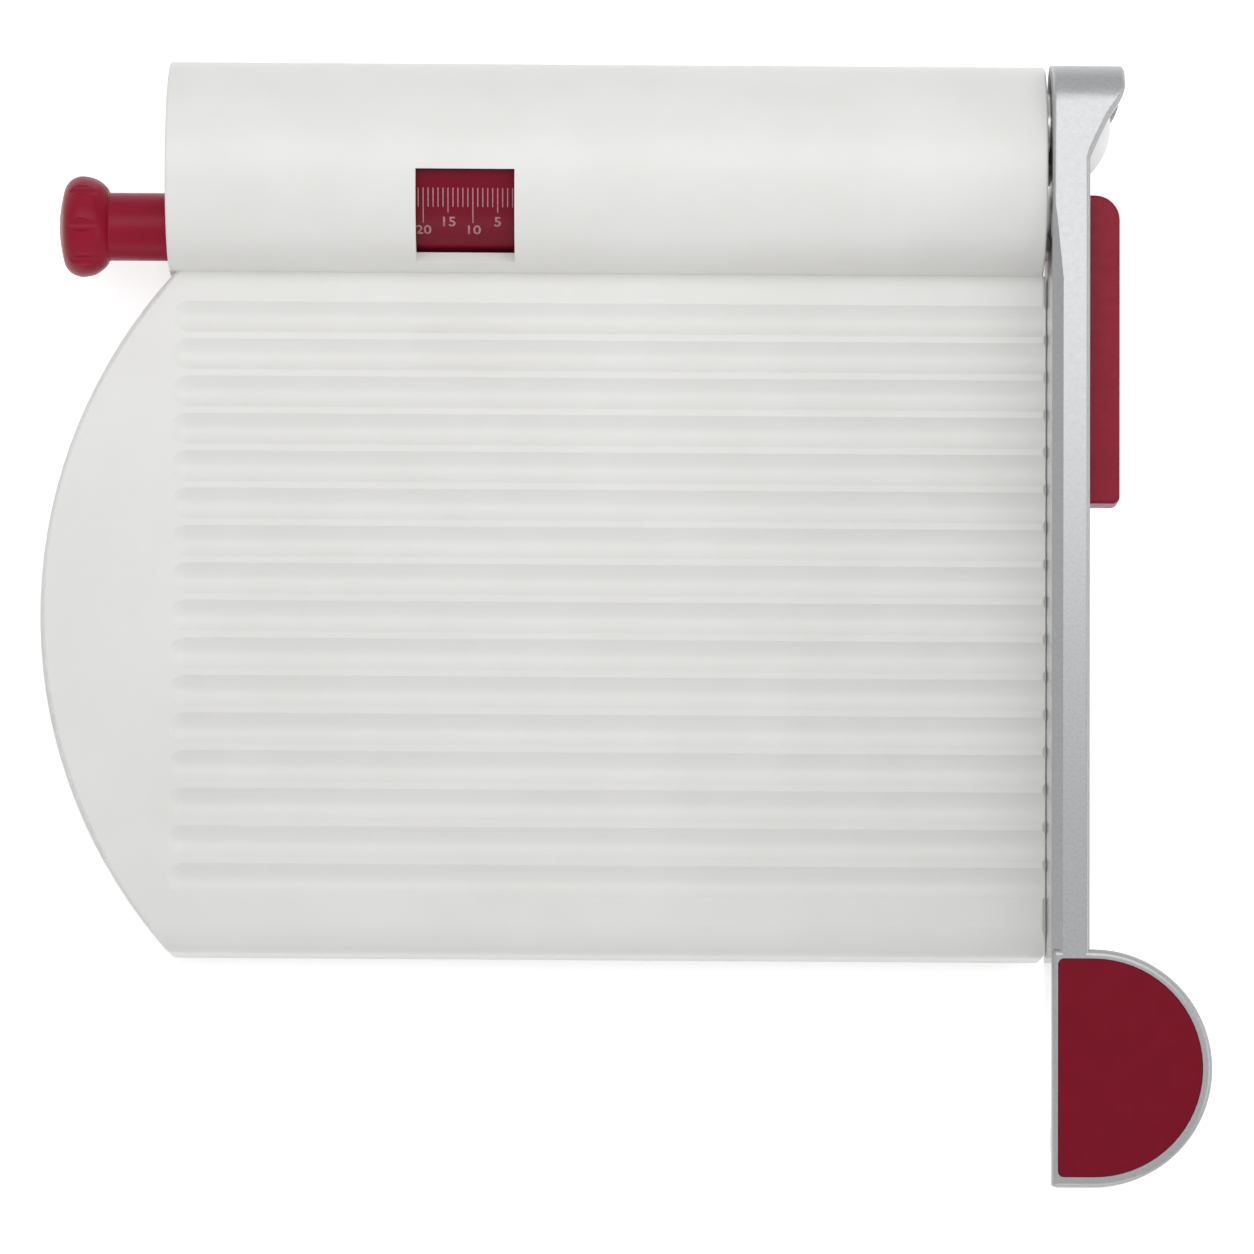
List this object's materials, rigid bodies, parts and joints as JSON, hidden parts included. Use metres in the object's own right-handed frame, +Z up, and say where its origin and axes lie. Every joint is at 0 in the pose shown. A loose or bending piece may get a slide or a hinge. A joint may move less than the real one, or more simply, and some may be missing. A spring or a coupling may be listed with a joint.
{
  "type": "cheese slicer",
  "caption": "Table-top cheese slicer: ribbed board with a round wing, hinged blade lever with a D-shaped handle, and a screw-adjusted stop block with a thickness scale.",
  "frame": {"origin": "bottom centre of the whole object's bounding box, on the surface that it stands on", "axes": "+X to the right along the housing, from the knob to the blade; +Y to the rear, from the handle to the housing; +Z up"},
  "size_m": [0.2352, 0.2276, 0.05],
  "materials": {
    "white_plastic": "satin",
    "grey_plastic": "matt",
    "red_plastic": "satin",
    "silver_casting": "satin",
    "polished_blade": "polished",
    "steel": "bright",
    "brass": "turned",
    "rubber": "matt"
  },
  "bodies": {
    "base": {"base_board": "white_plastic", "bottom_cover": "grey_plastic", "housing_hood": "white_plastic", "left_bearing_plate": "grey_plastic", "inner_bulkhead": "grey_plastic", "right_bearing_plate": "grey_plastic", "foot_front_left": "rubber", "foot_front_right": "rubber", "foot_rear_left": "rubber", "foot_rear_right": "rubber", "cover_screws": "steel", "plate_screws": "steel", "hood_screws": "steel", "spindle_bush": "brass", "bar_bush_inner": "brass", "bar_bush_outer": "brass", "axle_bush_inner": "brass", "axle_bush_outer": "brass", "thrust_washer": "steel", "guide_rod": "steel"},
    "knob": {"adjusting_knob": "red_plastic", "lead_screw": "steel", "knob_screw": "steel", "spindle_ring": "steel"},
    "adjuster": {"scale_carriage": "red_plastic", "screw_nut": "brass", "slide_bar": "steel", "bar_pin": "steel", "stop_block": "red_plastic", "stop_screw": "steel"},
    "lever": {"lever_arm": "silver_casting", "handle_grip": "red_plastic", "grip_screws": "steel", "blade": "polished_blade", "blade_screws": "steel", "pivot_axle": "steel", "axle_ring": "steel", "axle_washer": "steel", "axle_nut": "steel", "pivot_cap": "white_plastic", "lever_stop_pin": "steel"}
  },
  "joints": [
    {"name": "lever_hinge", "type": "hinge", "parent": "base", "child": "lever", "pos_m": [0.08578, 0.1005, 0.0345], "axis": [-1, 0, 0], "range_deg": [0, 80]},
    {"name": "knob_spin", "type": "hinge", "parent": "base", "child": "knob", "pos_m": [-0.09227, 0.08015, 0.025], "axis": [-1, 0, 0], "range_deg": [-108, 1332]},
    {"name": "stop_slide", "type": "slide", "parent": "base", "child": "adjuster", "axis": [1, 0, 0], "range_m": [-0.0015, 0.0185]}
  ],
  "couplings": [
    {"joint": "knob_spin", "follows": "stop_slide", "rad_per_m": 1256.6}
  ]
}
